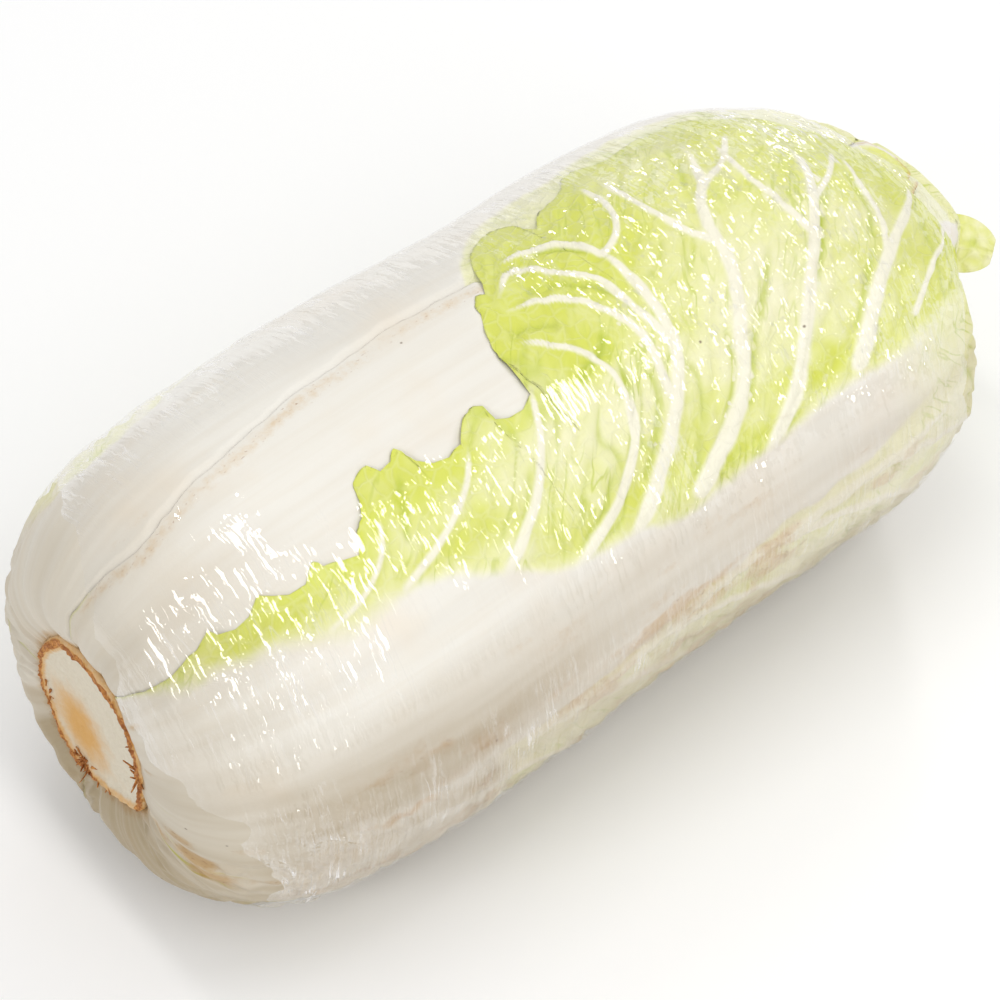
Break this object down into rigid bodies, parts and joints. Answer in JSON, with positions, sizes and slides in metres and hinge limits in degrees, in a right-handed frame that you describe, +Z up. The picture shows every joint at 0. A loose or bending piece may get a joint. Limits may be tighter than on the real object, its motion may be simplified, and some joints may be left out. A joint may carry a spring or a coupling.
{
  "type": "napa cabbage",
  "caption": "Whole napa cabbage lying on its side: overlapping long leaves around a cut stem, bound in a stretched clear film tube.",
  "frame": {"origin": "centre of the base of the bounding box, on the surface that the head lies on", "axes": "+X from the cut stem to the leaf tips, +Z up, -Y towards the front leaf's midrib"},
  "size_m": [0.3195, 0.1579, 0.1469],
  "materials": {
    "cut_stem": "cut, browned rim",
    "green_leaf": "satin, puckered",
    "white_leaf": "satin, smooth",
    "pale_leaf": "satin",
    "clear_film": "clear, stretched and wrinkled"
  },
  "bodies": {
    "root": {"cut_stem": "cut_stem", "wrapper_leaf_front": "green_leaf", "wrapper_leaf_top": "white_leaf", "wrapper_leaf_back": "white_leaf", "wrapper_leaf_rear_low": "pale_leaf", "wrapper_leaf_underside": "white_leaf", "tip_leaf_browned": "pale_leaf", "tip_leaf_curled": "green_leaf", "inner_leaf_front_high": "pale_leaf", "inner_leaf_back_low": "pale_leaf", "inner_leaf_front_low": "pale_leaf", "inner_leaf_back_high": "pale_leaf", "inner_leaf_underside": "pale_leaf", "heart_leaves": "pale_leaf", "film_wrap": "clear_film"}
  },
  "joints": []
}
